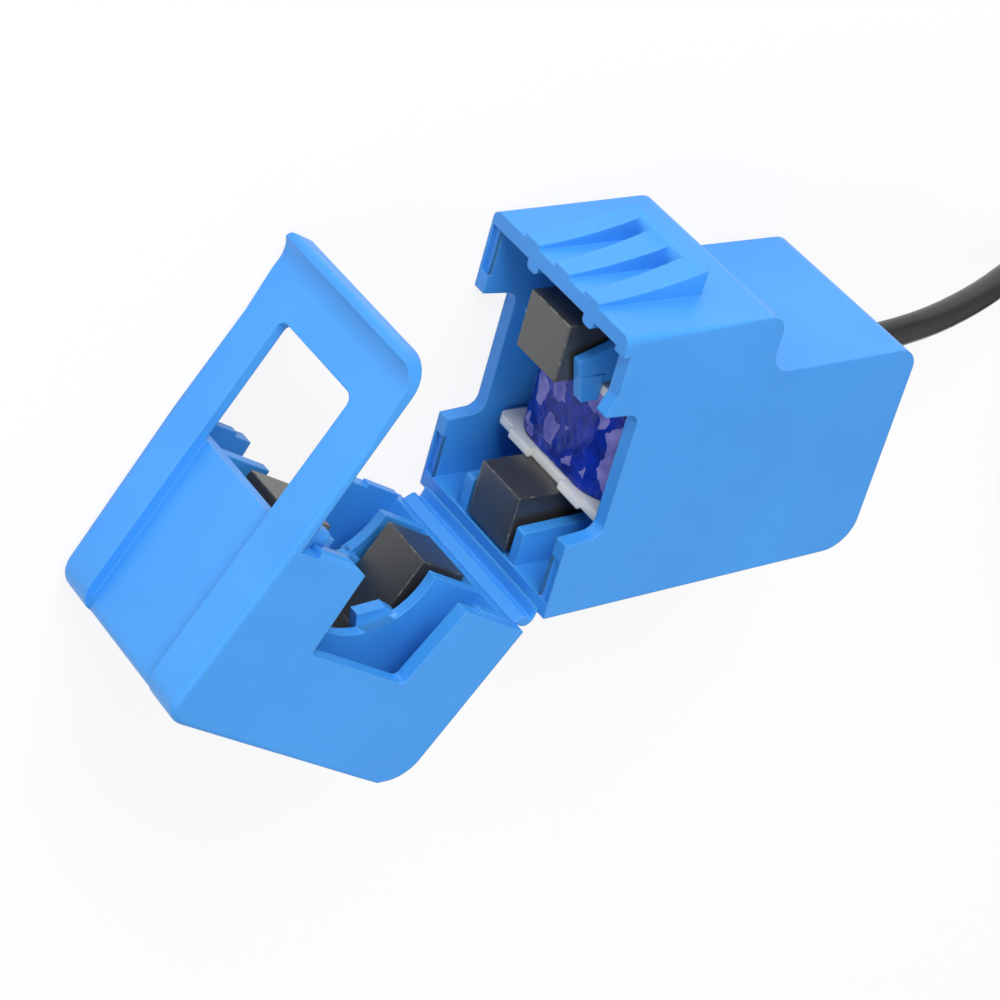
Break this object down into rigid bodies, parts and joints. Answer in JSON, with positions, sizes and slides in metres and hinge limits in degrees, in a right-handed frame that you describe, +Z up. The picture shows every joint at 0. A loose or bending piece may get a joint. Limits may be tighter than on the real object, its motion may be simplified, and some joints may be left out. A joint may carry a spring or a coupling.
{
  "type": "split-core current transformer",
  "caption": "Hinged split-core current transformer, clipped open, with ferrite cores, a taped winding and a plugged cable.",
  "frame": {"origin": "where the conductor window's axis, at the parting plane, meets the face the part lies on", "axes": "+X from the parting plane along the body to its cable, +Y from the hinge to the latch, +Z up along the conductor window's axis"},
  "size_m": [0.2072, 0.0565, 0.022],
  "materials": {
    "case_blue": "satin moulded polypropylene",
    "ferrite": "ground grey-black ferrite",
    "former_white": "plain moulded",
    "tape_blue": "glossy film",
    "winding_wire": "enamelled wire",
    "tinned_metal": "tinned",
    "foam_grey": "closed-cell foam",
    "diode_black": "moulded epoxy",
    "wire_white": "insulation",
    "wire_red": "insulation",
    "tie_white": "nylon",
    "cable_black": "soft satin jacket",
    "tie_black": "satin",
    "plug_black": "moulded",
    "plug_metal": "nickel plate",
    "insulator_black": "moulded"
  },
  "bodies": {
    "body": {"case_body": "case_blue", "hinge_web": "case_blue", "fixed_core": "ferrite", "bobbin": "former_white", "winding": "winding_wire", "winding_tape": "tape_blue", "terminal_pin_a": "tinned_metal", "terminal_pin_b": "tinned_metal", "suppressor": "diode_black", "suppressor_leads": "tinned_metal", "core_wire_a": "wire_white", "core_wire_b": "wire_red", "inner_tie": "tie_white", "cable": "cable_black", "cable_coil": "cable_black", "cable_tail": "cable_black", "coil_tie": "tie_black", "plug_housing": "plug_black", "plug_sleeve": "plug_metal", "plug_insulator_a": "insulator_black", "plug_ring": "plug_metal", "plug_insulator_b": "insulator_black", "plug_tip": "plug_metal"},
    "lid": {"case_lid": "case_blue", "lid_core": "ferrite", "core_pad": "foam_grey"}
  },
  "joints": [
    {"name": "lid_hinge", "type": "hinge", "parent": "body", "child": "lid", "pos_m": [-0.00014, -0.01758, 0.011], "axis": [0, 0, 1], "range_deg": [-62.5, 87.5], "deforming": ["hinge_web"]}
  ]
}
